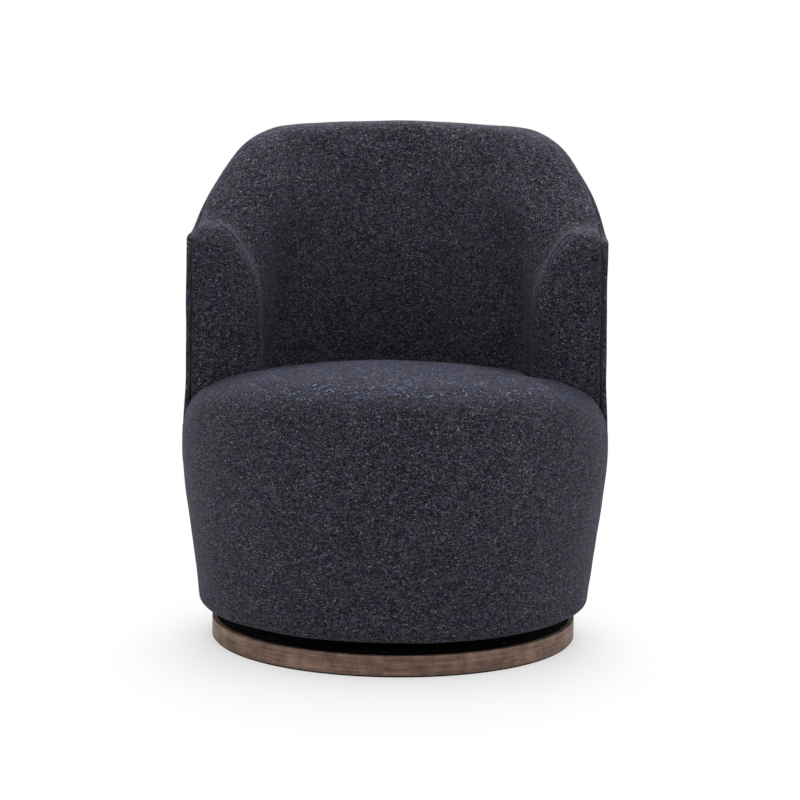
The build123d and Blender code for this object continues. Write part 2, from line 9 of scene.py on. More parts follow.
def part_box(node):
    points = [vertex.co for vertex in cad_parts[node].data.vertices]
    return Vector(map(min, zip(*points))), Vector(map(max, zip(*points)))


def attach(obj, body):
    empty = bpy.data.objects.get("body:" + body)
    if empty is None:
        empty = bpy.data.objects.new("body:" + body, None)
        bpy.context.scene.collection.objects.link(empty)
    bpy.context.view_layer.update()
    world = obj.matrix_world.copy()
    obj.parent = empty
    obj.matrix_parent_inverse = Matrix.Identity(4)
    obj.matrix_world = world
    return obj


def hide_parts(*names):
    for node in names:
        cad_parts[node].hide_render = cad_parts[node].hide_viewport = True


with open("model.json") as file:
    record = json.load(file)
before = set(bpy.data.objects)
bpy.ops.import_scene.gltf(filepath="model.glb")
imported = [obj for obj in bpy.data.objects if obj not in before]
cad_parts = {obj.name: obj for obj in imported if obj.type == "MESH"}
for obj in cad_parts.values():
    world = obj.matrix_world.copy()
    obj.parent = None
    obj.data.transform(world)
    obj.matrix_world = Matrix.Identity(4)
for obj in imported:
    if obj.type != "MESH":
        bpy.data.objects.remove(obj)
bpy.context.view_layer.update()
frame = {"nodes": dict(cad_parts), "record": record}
print("frame loaded")

# Everything is in metres. The chair faces -Y and its swivel's axis is the Z axis.

# Lines that several pieces share: the barrel's side, and the sweep of its top edge.
barrel = dict(
    hem=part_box("outer_cover")[0].z,        # underside of the upholstery
    foot=0.3185, waist=0.3512, waistZ=0.303, shell=0.3435, shoulderZ=0.450,
    soft=0.015,                            # how gently the side turns
    hemArc=0.014, hemInner=0.284,
)
sweep = dict(
    arm=0.662, back=0.803, frontY=0.051, rearY=0.235, lowArc=0.070, highArc=0.180,
    frontEdge=-0.016, corner=0.014,
)


# ---------- shared shapes ----------

# A turn between two straight lines, smooth within a width: width * log(1 + exp(t / width)).
def softTurn(t, width):
    return width * np.logaddexp(0, t / width)


# Radius of the barrel at a height: three straight lines joined by soft turns.
def barrelRadius(z):
    b = barrel
    low = (b["waist"] - b["foot"]) / (b["waistZ"] - b["hem"])
    high = (b["shell"] - b["waist"]) / (b["shoulderZ"] - b["waistZ"])
    r = b["foot"] + low * (z - b["hem"])
    r = r + (high - low) * softTurn(z - b["waistZ"], b["soft"])
    return r - high * softTurn(z - b["shoulderZ"], b["soft"])


# Height of the shell's top edge over y: arm line, arc, straight sweep, arc, back line.
# The front corner is rounded down.
def edgeHeight(y):
    s = sweep
    turn = atan2(s["back"] - s["arm"], s["rearY"] - s["frontY"])
    lowCut = s["lowArc"] * tan(turn / 2)
    highCut = s["highArc"] * tan(turn / 2)
    lowY = s["frontY"] - lowCut
    highY = s["rearY"] + highCut
    lowArc = s["arm"] + s["lowArc"] - np.sqrt(np.clip(s["lowArc"] ** 2 - (y - lowY) ** 2, 0, None))
    highArc = s["back"] - s["highArc"] + np.sqrt(np.clip(s["highArc"] ** 2 - (y - highY) ** 2, 0, None))
    slope = s["arm"] + (y - s["frontY"]) * tan(turn)
    z = np.where(y < lowY, s["arm"], lowArc)
    z = np.where(y > s["frontY"] + lowCut * cos(turn), slope, z)
    z = np.where(y > s["rearY"] - highCut * cos(turn), highArc, z)
    z = np.where(y > highY, s["back"], z)
    near = np.clip(s["corner"] - (y - s["frontEdge"]), 0, s["corner"])
    return z - s["corner"] + np.sqrt(s["corner"] ** 2 - near ** 2)


# A quarter of a circle as (forward, inward) steps from 0 to 1.
def quarterRound(count):
    t = np.linspace(0, np.pi / 2, count)
    return np.sin(t), 1 - np.cos(t)


# ---------- mesh helpers ----------

# A mesh from points and faces, with optional UV maps given per vertex and vertex attributes.
def makeMesh(name, points, faces, uvMaps=None, masks=None, closed=False):
    mesh = bpy.data.meshes.new(name)
    mesh.from_pydata(points.tolist(), [], faces)
    loopVertex = np.zeros(len(mesh.loops), np.int32)
    mesh.loops.foreach_get("vertex_index", loopVertex)
    for mapName, uv in (uvMaps or {}).items():
        layer = mesh.uv_layers.new(name=mapName)
        layer.data.foreach_set("uv", uv[loopVertex].astype(np.float32).ravel())
    for maskName, mask in (masks or {}).items():
        layer = mesh.attributes.new(maskName, "FLOAT", "POINT")
        layer.data.foreach_set("value", mask.astype(np.float32))
    mesh.polygons.foreach_set("use_smooth", np.ones(len(mesh.polygons), bool))
    if closed:
        work = bmesh.new()
        work.from_mesh(mesh)
        bmesh.ops.recalc_face_normals(work, faces=work.faces)
        work.to_mesh(mesh)
        work.free()
    mesh.update()
    obj = bpy.data.objects.new(name, mesh)
    bpy.context.scene.collection.objects.link(obj)
    return obj


# Quads over a grid of columns by rows, closed round the rows if asked.
def gridFaces(columns, rows, closeRows=False, closeColumns=False, start=0):
    c = np.arange(columns if closeColumns else columns - 1)
    r = np.arange(rows if closeRows else rows - 1)
    c, r = np.meshgrid(c, r, indexing="ij")
    c2 = (c + 1) % columns
    r2 = (r + 1) % rows
    quads = np.stack([c * rows + r, c2 * rows + r, c2 * rows + r2, c * rows + r2], -1)
    return (quads.reshape(-1, 4) + start).tolist()


# Running length along the second axis of an array of points.
def runLength(points):
    step = np.linalg.norm(np.diff(points, axis=1), axis=2)
    return np.concatenate([np.zeros((len(points), 1)), np.cumsum(step, axis=1)], axis=1)


# ---------- shell ----------

shellParts = dict(
    thick=0.0108, columns=150, edgeSteps=7, rollSteps=9, sideSteps=70, innerSteps=24,
)


# The shell's section at every angle is a loop: in under the hem, up the barrel's side, over
# a half-round edge and down inside. At the two front edges it closes in a half round as well.
def makeShell():
    p = shellParts
    half = p["thick"] / 2
    forward, drawn = quarterRound(p["edgeSteps"])
    lastTurn = np.pi / 2 + np.arcsin((-sweep["frontEdge"] - half) / barrel["shell"])
    angles = np.linspace(-lastTurn, lastTurn, p["columns"])
    extra = forward * half / barrel["shell"]
    angles = np.concatenate([-(lastTurn + extra[:0:-1]), angles, lastTurn + extra[1:]])
    thin = np.concatenate([drawn[:0:-1], np.zeros(p["columns"]), drawn[1:]]) * half * 0.96
    loops = []
    for angle, draw in zip(angles, thin):
        y = barrelRadius(0.6) * cos(angle)
        top = float(edgeHeight(np.array(y))) - draw - half
        corner = np.linspace(-np.pi / 2, 0, 8)
        hemR = barrel["foot"] - barrel["hemArc"]
        hemZ = barrel["hem"] + barrel["hemArc"]
        under = np.stack([np.linspace(barrel["hemInner"], hemR, 5)[:-1],
                          np.full(4, barrel["hem"] + draw)], 1)
        bend = np.stack([hemR + (barrel["hemArc"] - draw) * np.cos(corner),
                         hemZ + (barrel["hemArc"] - draw) * np.sin(corner)], 1)
        z = np.linspace(hemZ, top, p["sideSteps"])[1:]
        side = np.stack([barrelRadius(z) - draw, z], 1)
        rollT = np.linspace(0, np.pi, p["rollSteps"])[1:-1]
        mid = float(barrelRadius(np.array(top))) - half
        roll = np.stack([mid + (half - draw) * np.cos(rollT), top + (half - draw) * np.sin(rollT)], 1)
        z = np.linspace(top, barrel["hem"] + 0.008, p["innerSteps"])
        inside = np.stack([barrelRadius(z) - p["thick"] + draw, z], 1)
        inside[-1, 0] = barrel["hemInner"]
        loop = np.concatenate([under, bend, side, roll, inside])
        loops.append(np.stack([loop[:, 0] * sin(angle), loop[:, 0] * cos(angle), loop[:, 1]], 1))
    grid = np.array(loops)
    rows = grid.shape[1]
    uv = np.zeros((len(angles), rows, 2))
    uv[..., 0] = (angles * barrel["shell"])[:, None]
    uv[..., 1] = runLength(grid)
    faces = gridFaces(len(angles), rows, closeRows=True)
    faces.append(list(range(rows)))
    faces.append(list(range((len(angles) - 1) * rows, len(angles) * rows))[::-1])
    return makeMesh("outerShell", grid.reshape(-1, 3), faces, {"cloth": uv.reshape(-1, 2)})


# ---------- pad of the arms and back ----------

pad = dict(
    armIn=0.217, backIn=0.200, leanZ=0.455, lean=0.193, rise=0.018, backRise=0.007, topR=0.299,
    outerArc=0.0358, armRoll=0.150, backRoll=0.105, armArc=0.045, backArc=0.032,
    floor=0.3236, notch=0.022, behind=0.298,
    fullness=2.7, crest=0.009,           # outer shoulder, and its rise along the sweep
    bulge=0.018, bulgeFrom=0.430, bulgeTop=0.030,       # filling of the back
    hollow=0.018, hollowTurn=0.8,        # room behind each arm's front, over this turn
    nose=0.0165, noseBack=0.020,         # an arm's front rounds off between these, before and behind the axis
    noseTop=0.036, noseFall=0.115, noseRound=0.030, noseSide=0.0015, noseDome=0.004,
    columns=150, noseSteps=11, rows=(24, 14, 26, 14, 14), sideRows=56, faceColumns=12,
)


# Points of the pad's section at one turn (0 at the middle of the back, 90 at an arm's front).
# A large arc leaves the leaning face and meets a small arc under the highest line, and a full
# shoulder falls to the groove at the shell: cos(t)^(2/n) out and sin(t)^(2/n) up. An arm's
# nose has no notch for the rail. Both halves have as many points, apart from the highest one.
def padSection(turn, nose):
    p = pad
    side = sin(turn) ** 2
    y = max(barrel["shell"] * cos(turn), sweep["frontEdge"] + sweep["corner"] + 0.011)
    steepest = (sweep["back"] - sweep["arm"]) / (sweep["rearY"] - sweep["frontY"])
    climb = (edgeHeight(np.array(y + 0.01)) - edgeHeight(np.array(y - 0.01))) / 0.02 / steepest
    edge = float(edgeHeight(np.array(y)))
    top = edge + p["rise"] + p["backRise"] * (1 - side) + p["crest"] * float(np.clip(climb, 0, 1))
    inner = p["backIn"] + (p["armIn"] - p["backIn"]) * side
    lean = p["lean"] * (1 - side)
    rollZ = top - p["backRoll"] - (p["armRoll"] - p["backRoll"]) * side
    small = p["backArc"] + (p["armArc"] - p["backArc"]) * side
    start = np.array([inner + lean * (rollZ - p["leanZ"]), rollZ])
    normal = np.array([1, -lean]) / sqrt(1 + lean ** 2)
    smallMid = np.array([p["topR"], top - small])
    reach = smallMid - start
    large = (reach @ reach - small ** 2) / (2 * (reach @ normal - small))
    largeMid = start + normal * large
    meet = smallMid - largeMid

    def arc(mid, radius, first, last, count):
        t = np.linspace(first, last, count)
        return np.stack([mid[0] + radius * np.cos(t), mid[1] + radius * np.sin(t)], 1)

    startAngle = atan2(-normal[1], -normal[0]) % (2 * np.pi)
    meetAngle = atan2(meet[1], meet[0]) % (2 * np.pi)
    n = p["rows"]
    lower = np.stack([np.full(n[0], inner), np.linspace(p["floor"], p["leanZ"], n[0])], 1)
    z = np.linspace(p["leanZ"], rollZ, n[1])
    face = np.stack([inner + lean * (z - p["leanZ"]), z], 1)
    big = arc(largeMid, large, startAngle, meetAngle, n[2])
    little = arc(smallMid, small, meetAngle, np.pi / 2, n[3])
    t = np.linspace(np.pi / 2, 0, n[4])
    power = 2 / p["fullness"]
    outer = np.stack([p["topR"] + p["outerArc"] * np.abs(np.cos(t)) ** power,
                      top - p["outerArc"] + p["outerArc"] * np.sin(t) ** power], 1)
    rimX = p["topR"] + p["outerArc"]
    notchZ = edge - p["notch"]
    back = rimX if nose else p["behind"]
    across = np.stack([np.linspace(rimX, back, 6), np.linspace(notchZ, notchZ - 0.004, 6)], 1)
    down = np.stack([np.full(p["sideRows"], back),
                     np.linspace(notchZ - 0.004, p["floor"], p["sideRows"])], 1)
    section = np.concatenate([lower[:-1], face, big[1:], little[1:], outer[1:], across, down[1:]])
    # the inner side stands out by bulge * sin(pi t)^2 up the back and goes in behind the arms
    count = sum(n[:3]) - 2
    t = np.clip((section[:count, 1] - p["bulgeFrom"]) / (top - p["bulgeTop"] - p["bulgeFrom"]), 0, 1)
    behindArm = sin(np.pi * min(max((np.pi / 2 - abs(turn)) / p["hollowTurn"], 0), 1))
    section[:count, 0] -= p["bulge"] * (1 - side) ** 2 * np.sin(np.pi * t) ** 2
    section[:count, 0] += p["hollow"] * behindArm * (1 - t ** 2)
    return section


# Rounds a section off towards an arm's front by a share from 0 to 1: its inner side is drawn in,
# its side next to the shell a little, and its top is lowered by top * share * t^2, where t rises
# from 0 to 1 over the last part of the height.
def drawIn(section, share):
    p = pad
    ahead = np.roll(section, -1, axis=0) - np.roll(section, 1, axis=0)
    ahead[0], ahead[-1] = (0, 1), (0, -1)
    inward = ahead[:, 1] / (np.linalg.norm(ahead, axis=1) + 1e-9)
    moved = section.copy()
    moved[:, 0] += share * inward * np.where(inward > 0, p["noseRound"], p["noseSide"])
    t = np.clip((section[:, 1] - section[:, 1].max()) / p["noseFall"] + 1, 0, 1)
    moved[:, 1] -= share * p["noseTop"] * t ** 2
    return moved


# Share of the rounding at a distance from the axis: 1 - sqrt(1 - s^2), a quarter circle.
def noseShare(y):
    s = np.clip((pad["noseBack"] - y) / (pad["noseBack"] + pad["nose"]), 0, 1)
    return 1 - np.sqrt(1 - s ** 2)


# The pad: sections turned round the axis, then carried forward past it at each arm, where
# they draw in along a quarter round and close in a slightly domed face.
def makePad():
    p = pad
    turns = np.linspace(0, np.pi / 2, p["columns"] // 2)
    turns = np.union1d(turns, np.pi / 2 - np.linspace(0, 0.07, p["noseSteps"]))
    turns = np.concatenate([-turns[:0:-1], turns])
    loops, along = [], []
    for turn in turns:
        section = drawIn(padSection(turn, False), noseShare(p["topR"] * cos(turn)))
        loops.append(np.stack([section[:, 0] * sin(turn), section[:, 0] * cos(turn), section[:, 1]], 1))
        along.append(turn * p["topR"] * 0.87)
    depth = p["noseBack"] + p["nose"]
    first = np.arcsin(p["noseBack"] / depth)
    steps = np.linspace(first, np.pi / 2, p["noseSteps"])
    for side in (1, -1):
        plain = padSection(side * np.pi / 2, True)
        more, moreAlong = [], []
        for step in steps:
            y = p["noseBack"] - depth * sin(step) - 0.0005
            section = drawIn(plain, 1 - cos(step))
            more.append(np.stack([section[:, 0] * side, np.full(len(section), y), section[:, 1]], 1))
            moreAlong.append(along[-1 if side > 0 else 0] + side * (step - first + 0.01) * depth)
        if side > 0:
            loops, along = loops + more, along + moreAlong
        else:
            loops, along = more[::-1] + loops, moreAlong[::-1] + along
    grid = np.array(loops)
    columns, rows = grid.shape[:2]
    uv = np.zeros((columns, rows, 2))
    uv[..., 0] = np.array(along)[:, None]
    uv[..., 1] = runLength(grid)
    points, maps = grid.reshape(-1, 3), uv.reshape(-1, 2)
    faces = gridFaces(columns, rows, closeRows=True)
    for end, way in ((0, -1), (columns - 1, 1)):
        points, maps, more = closeEnd(points, maps, end * rows, rows, way)
        faces += more
    return makeMesh("insidePad", points, faces, {"cloth": maps}, closed=True)


# Closes an arm's front with rows of points laid from each point of the loop's inner half to its
# partner on the outer half, domed forward by dome * sin(pi s)^2. The cloth's map runs on over it.
def closeEnd(points, maps, first, rows, way):
    pairs = rows // 2
    inner = np.arange(first, first + pairs)
    outer = np.arange(first + rows - 1, first + rows - 1 - pairs, -1)
    s = np.append(np.linspace(0, 0.985, pad["faceColumns"]), 1)[1:-1]
    a, b = points[inner][:, None], points[outer][:, None]
    width = np.linalg.norm(b - a, axis=2, keepdims=True)
    face = a + (b - a) * s[None, :, None]
    dome = pad["noseDome"] * np.clip(width[..., 0] / 0.08, 0, 1) ** 2
    face[..., 1] -= dome * np.sin(np.pi * s)[None] ** 2
    faceMap = np.repeat(maps[inner][:, None], len(s), 1)
    faceMap[..., 0] += way * width[..., 0] * s[None]
    base = len(points)
    index = base + np.arange(pairs * len(s)).reshape(pairs, len(s))
    index = np.concatenate([inner[:, None], index, outer[:, None]], 1)
    quads = np.stack([index[:-1, :-1], index[:-1, 1:], index[1:, 1:], index[1:, :-1]], -1)
    faces = quads.reshape(-1, 4).tolist()
    top = first + pairs
    faces += np.stack([index[-1, :-1], index[-1, 1:], np.full(len(s) + 1, top)], 1).tolist()
    points = np.concatenate([points, face.reshape(-1, 3)])
    maps = np.concatenate([maps, faceMap.reshape(-1, 2)])
    return points, maps, faces


# ---------- seat ----------

seat = dict(
    crown=0.4645, crownY=-0.145, acrossR=1.400, alongR=1.450, dropR=0.2318, dropX=0.2353,
    roll=0.032, rearRoll=0.005, backY=-0.0135, halfTongue=0.214, tongue=0.197, middleY=-0.060,
    columns=200, cornerColumns=14, cornerSpread=0.10, sharpness=110,
    topRows=40, rollRows=13, wallRows=44, thick=0.004, floor=0.3236,
)


# Height of the seat's dome: an arched line across, carried along a long arc.
def domeHeight(x, y):
    s = seat
    x = np.abs(x)
    centre = s["crown"] - s["acrossR"]
    turn = np.arcsin(s["dropX"] / s["acrossR"])
    sideX = (s["acrossR"] - s["dropR"]) * np.sin(turn)
    sideZ = centre + (s["acrossR"] - s["dropR"]) * np.cos(turn)
    middle = centre + np.sqrt(s["acrossR"] ** 2 - x ** 2)
    shoulder = sideZ + np.sqrt(np.clip(s["dropR"] ** 2 - (x - sideX) ** 2, 0, None))
    across = np.where(x < s["dropX"], middle, shoulder)
    axisZ = s["crown"] - s["alongR"]
    return axisZ + np.sqrt((across - axisZ) ** 2 - (y - s["crownY"]) ** 2)


# How far a rounded edge has dropped at a distance inside it: r - sqrt(r^2 - (r - d)^2).
def edgeDrop(distance, radius):
    near = np.clip(radius - distance, 0, radius)
    return radius - np.sqrt(radius ** 2 - near ** 2)


# Distance from the seat's middle to its front outline, a circle of radius r round the axis,
# and to its rear outline: a straight back at the arms' fronts with an oval tongue between.
def seatReaches(angle, r):
    s = seat
    dx, dy = np.cos(angle), np.sin(angle)
    my = s["middleY"]
    front = -my * dy + np.sqrt((my * dy) ** 2 + r ** 2 - my ** 2)
    line = (s["backY"] - my) / np.clip(dy, 1e-6, None)
    side = s["halfTongue"] / np.clip(np.abs(dx), 1e-6, None)
    qa = (dx / s["halfTongue"]) ** 2 + (dy / s["tongue"]) ** 2
    qb = my * dy / s["tongue"] ** 2
    qc = (my / s["tongue"]) ** 2 - 1
    oval = (-qb + np.sqrt(qb ** 2 - qa * qc)) / qa
    tongue = np.where(my + side * dy < 0, side, oval)
    rear = np.where(line * np.abs(dx) > s["halfTongue"], line, tongue)
    return front, np.where(dy <= 1e-6, 10, rear)


# The smaller of two distances, with the corner where they cross a little rounded.
def softLesser(a, b):
    power = seat["sharpness"]
    small = np.minimum(a, b)
    return small * ((a / small) ** -power + (b / small) ** -power) ** (-1 / power)


# The seat's cover: on every ray from its middle, out over the dome, round the roll and down
# the wall, in front as far as under the hem.
def makeSeat():
    s = seat
    corners = [atan2(s["backY"] - s["middleY"], x) for x in (0.343, s["halfTongue"])]
    corners += [np.pi - c for c in corners]
    spread = np.linspace(-1, 1, s["cornerColumns"]) ** 3 * s["cornerSpread"]
    extra = np.concatenate([c + spread for c in corners])
    angle = np.sort(np.concatenate([np.linspace(0, 2 * np.pi, s["columns"], endpoint=False), extra]))
    angle = angle[np.append(np.diff(angle) > 0.0015, True)]
    n = len(angle)
    dx, dy = np.cos(angle)[:, None], np.sin(angle)[:, None]

    def topZ(out, front, rear):
        x, y = out * dx, s["middleY"] + out * dy
        z = domeHeight(x, y) - edgeDrop(barrelRadius(np.array(0.40)) - np.hypot(x, y), s["roll"])
        backGap = np.where(np.abs(x) > s["halfTongue"], s["backY"] - y, rear - out)
        return z - edgeDrop(np.where(dy > 0, np.clip(backGap, 0, 1), 1), s["rearRoll"])

    front, rear = seatReaches(angle[:, None], barrelRadius(np.array(0.40)))
    edge = softLesser(front, rear)
    inFront = front < rear
    t = np.linspace(0, np.pi / 2, s["rollRows"])[None]
    part = np.linspace(0, 1, s["topRows"])[None, 1:]
    out = np.concatenate([part * (edge - s["roll"]), (edge - s["roll"] * (1 - np.sin(t)))[:, 1:]], 1)
    z = topZ(out, front, rear)
    # the wall follows the barrel in front and stands upright elsewhere
    startZ = z[:, -1:]
    endZ = np.where(inFront, barrel["hem"] + barrel["hemArc"], s["floor"])
    t = np.linspace(0, 1, s["wallRows"])[None, 1:]
    wallZ = startZ + (endZ - startZ) * t
    wallOut = softLesser(*seatReaches(np.repeat(angle[:, None], wallZ.shape[1], 1), barrelRadius(wallZ)))
    corner = np.linspace(0, np.pi / 2, 8)[None, 1:]
    arc = np.where(inFront, barrel["hemArc"], 0.002)
    bendOut = wallOut[:, -1:] - arc * (1 - np.cos(corner))
    bendZ = endZ - arc * np.sin(corner)
    last = bendOut[:, -1:]
    tuck = barrelRadius(np.array(0.06)) - barrel["hemArc"] - barrel["hemInner"]
    stop = np.where(inFront, last - tuck, last - 0.004)
    underOut = last + (stop - last) * np.array([[0.5, 1.0]])
    underZ = np.repeat(bendZ[:, -1:], 2, 1)
    out = np.concatenate([out, wallOut, bendOut, underOut], 1)
    z = np.concatenate([z, wallZ, bendZ, underZ], 1)
    grid = np.stack([out * dx, s["middleY"] + out * dy, z], -1)
    rows = grid.shape[1]
    hub = [[0, s["middleY"], float(domeHeight(np.array(0.0), np.array(s["middleY"])))]]
    points = np.concatenate([grid.reshape(-1, 3), hub])
    faces = gridFaces(n, rows, closeColumns=True)
    faces = [f[::-1] for f in faces]
    column = np.arange(n)
    faces += np.stack([np.full(n, n * rows), column * rows, (column + 1) % n * rows], 1).tolist()

    length = runLength(grid)
    down = (length - length[:, s["topRows"] - 2:s["topRows"] - 1]).reshape(-1)
    turned = np.arctan2(points[:-1, 0], -points[:-1, 1])
    wallMap = np.stack([turned * barrel["waist"], -down], 1)
    wallMap = np.concatenate([wallMap, np.zeros((1, 2))])
    onWall = np.append(np.clip((down - 0.004) / 0.03, 0, 1), 0)
    return makeMesh("seatUpholstery", points, faces,
                    {"cloth": points[:, :2].copy(), "wallCloth": wallMap}, {"onWall": onWall})


# ---------- filling ----------

# Lets a padded piece swell like fabric over foam. Cloth works on an even, closed copy that starts
# a little smaller, and pushes its free points out for some frames. How far each point ends from
# where the piece was, along its normal and never more than a cap, is spread over a grid of cells,
# smoothed, and moves the piece itself. Where the piece is fixed it stays as it was.
clothWork = dict(
    pressure=4.0, frames=20, stiffness=40.0, bending=4.0, voxel=0.008, startIn=0.002, cap=0.005,
    smoothing=3,
)


def allPoints(mesh, kind="co"):
    values = np.zeros(len(mesh.vertices) * 3)
    mesh.vertices.foreach_get(kind, values)
    return values.reshape(-1, 3)


def evenCopy(obj):
    work = bmesh.new()
    work.from_mesh(obj.data)
    bmesh.ops.holes_fill(work, edges=work.edges)
    bmesh.ops.triangulate(work, faces=[f for f in work.faces if len(f.verts) > 4])
    mesh = bpy.data.meshes.new("even")
    work.to_mesh(mesh)
    work.free()
    copy = bpy.data.objects.new("evenCopy", mesh)
    bpy.context.scene.collection.objects.link(copy)
    remesh = copy.modifiers.new("even", "REMESH")
    remesh.mode = "VOXEL"
    remesh.voxel_size = clothWork["voxel"]
    even = bpy.data.meshes.new_from_object(copy.evaluated_get(bpy.context.evaluated_depsgraph_get()))
    copy.modifiers.clear()
    copy.data = even
    return copy


def runCloth(copy, held):
    w = clothWork
    group = copy.vertex_groups.new(name="held")
    group.add(np.flatnonzero(held).tolist(), 1.0, "REPLACE")
    settings = copy.modifiers.new("cloth", "CLOTH").settings
    settings.quality = 5
    settings.use_pressure = True
    settings.uniform_pressure_force = w["pressure"]
    settings.tension_stiffness = w["stiffness"]
    settings.compression_stiffness = w["stiffness"]
    settings.bending_stiffness = w["bending"]
    settings.effector_weights.gravity = 0
    settings.vertex_group_mass = "held"
    for step in range(1, w["frames"] + 1):
        bpy.context.scene.frame_set(step)
    end = allPoints(copy.evaluated_get(bpy.context.evaluated_depsgraph_get()).data)
    bpy.context.scene.frame_set(1)
    return end


# Spreads values given at points over cells, smooths them and reads them at other points.
def throughCells(points, values, cell, passes, wanted):
    low = points.min(0) - 4 * cell
    size = np.ceil((points.max(0) + 4 * cell - low) / cell).astype(int) + 1
    index = np.floor((points - low) / cell).astype(int)
    flat = np.ravel_multi_index(index.T, size)
    total = np.bincount(flat, values, size.prod()).reshape(size)
    count = np.bincount(flat, None, size.prod()).reshape(size).astype(float)
    for axis in (0, 1, 2) * passes:
        total = (np.roll(total, 1, axis) + 2 * total + np.roll(total, -1, axis)) / 4
        count = (np.roll(count, 1, axis) + 2 * count + np.roll(count, -1, axis)) / 4
    field = total / np.maximum(count, 1e-4)
    place = np.clip((wanted - low) / cell - 0.5, 0, np.array(size) - 1.001)
    base = place.astype(int)
    part = place - base
    result = np.zeros(len(wanted))
    for dx, dy, dz in np.ndindex(2, 2, 2):
        share = np.prod(np.where([dx, dy, dz], part, 1 - part), axis=1)
        result += share * field[base[:, 0] + dx, base[:, 1] + dy, base[:, 2] + dz]
    return result


def swell(obj, isHeld):
    w = clothWork
    copy = evenCopy(obj)
    start = allPoints(copy.data)
    normal = allPoints(copy.data, "normal")
    held = isHeld(start)
    smaller = start - normal * (w["startIn"] * ~held)[:, None]
    copy.data.vertices.foreach_set("co", smaller.ravel())
    copy.data.update()
    moved = ((runCloth(copy, held) - start) * normal).sum(1)
    moved = np.where(held, 0, w["cap"] * np.tanh(moved / w["cap"]))
    bpy.data.objects.remove(copy)
    place = allPoints(obj.data)
    out = throughCells(start, moved, w["voxel"], w["smoothing"], place)
    obj.data.vertices.foreach_set("co", (place + allPoints(obj.data, "normal") * out[:, None]).ravel())
    obj.data.update()
    print(obj.name, "swelled by", np.round(np.percentile(out * 1000, (1, 50, 99)), 1), "mm")


# Faint unevenness of hand-stretched cloth: a few slow slanted waves along the normals.
# height = sum of a_k * sin(f_k . point + p_k)
unevenness = dict(
    size=0.00022,
    waves=((38, 9, 21, 0.3), (-17, 41, 30, 1.9), (25, -33, 47, 4.1), (61, 12, -28, 2.6), (-9, -22, 73, 5.2)),
)


def makeUneven(obj):
    place = allPoints(obj.data)
    height = np.zeros(len(place))
    for fx, fy, fz, phase in unevenness["waves"]:
        height += np.sin(place @ np.array([fx, fy, fz]) + phase)
    out = allPoints(obj.data, "normal") * (height * unevenness["size"])[:, None]
    obj.data.vertices.foreach_set("co", (place + out).ravel())
    obj.data.update()


# ---------- materials ----------

def newMaterial(name, roughness=0.6):
    material = bpy.data.materials.new(name)
    material.use_nodes = True
    shader = material.node_tree.nodes["Principled BSDF"]
    shader.inputs["Roughness"].default_value = roughness
    return material, material.node_tree, shader


def addNode(tree, kind, settings=None, **links):
    node = tree.nodes.new(kind)
    for key, value in (settings or {}).items():
        if hasattr(node, key):
            setattr(node, key, value)
        else:
            node.inputs[key].default_value = value
    for key, source in links.items():
        name = key.replace("_", " ")
        target = node.inputs[int(name[1:])] if name[0] == "i" and name[1:].isdigit() else node.inputs[name]
        if isinstance(source, (int, float, tuple)):
            target.default_value = source
        else:
            tree.links.new(source, target)
    return node


def mathNode(tree, operation, a, b=0.5, clamp=False):
    node = tree.nodes.new("ShaderNodeMath")
    node.operation = operation
    node.use_clamp = clamp
    for socket, source in zip(node.inputs, (a, b)):
        if isinstance(source, (int, float)):
            socket.default_value = source
        else:
            tree.links.new(source, socket)
    return node.outputs[0]


def mixColour(tree, factor, a, b, blend="MIX"):
    node = tree.nodes.new("ShaderNodeMix")
    node.data_type = "RGBA"
    node.blend_type = blend
    for socket, source in ((node.inputs[0], factor), (node.inputs[6], a), (node.inputs[7], b)):
        if isinstance(source, (int, float)):
            socket.default_value = source
        elif isinstance(source, tuple):
            socket.default_value = (*source, 1)
        else:
            tree.links.new(source, socket)
    return node.outputs[2]


def noiseAt(tree, vector, scale, stretch=(1, 1, 1), detail=2.0, rough=0.5):
    mapping = addNode(tree, "ShaderNodeMapping", {"Scale": stretch}, Vector=vector)
    noise = addNode(tree, "ShaderNodeTexNoise", {"Scale": scale, "Detail": detail, "Roughness": rough},
                    Vector=mapping.outputs[0])
    return noise.outputs["Fac"]


def remap(tree, value, low, high, toLow=0.0, toHigh=1.0):
    node = tree.nodes.new("ShaderNodeMapRange")
    for socket, source in zip(node.inputs, (value, low, high, toLow, toHigh)):
        if isinstance(source, (int, float)):
            socket.default_value = source
        else:
            tree.links.new(source, socket)
    return node.outputs[0]


clothLook = dict(
    pitch=(0.00176, 0.00156),            # one crossing of the weave, across and up
    warpRun=2, weftRun=3,                # crossings before a yarn changes its shade
    dark=(0.0022, 0.0025, 0.0042), light=(0.078, 0.078, 0.094), contrast=2.5,
    navy=(0.91, 0.94, 1.17), grey=(1.02, 1.01, 0.99), patch=26,
    slub=(0.15, 0.15, 0.155), slubShare=0.010, slubRun=(1.4, 1.0),
    wanderScale=90.0, wander=0.0016,     # how yarns stray from straight
    relief=0.35, reliefDepth=0.0008, rough=0.95, specular=0.15,
    sheen=0.04, sheenRough=0.45, sheenTint=(0.58, 0.61, 0.92, 1),
)


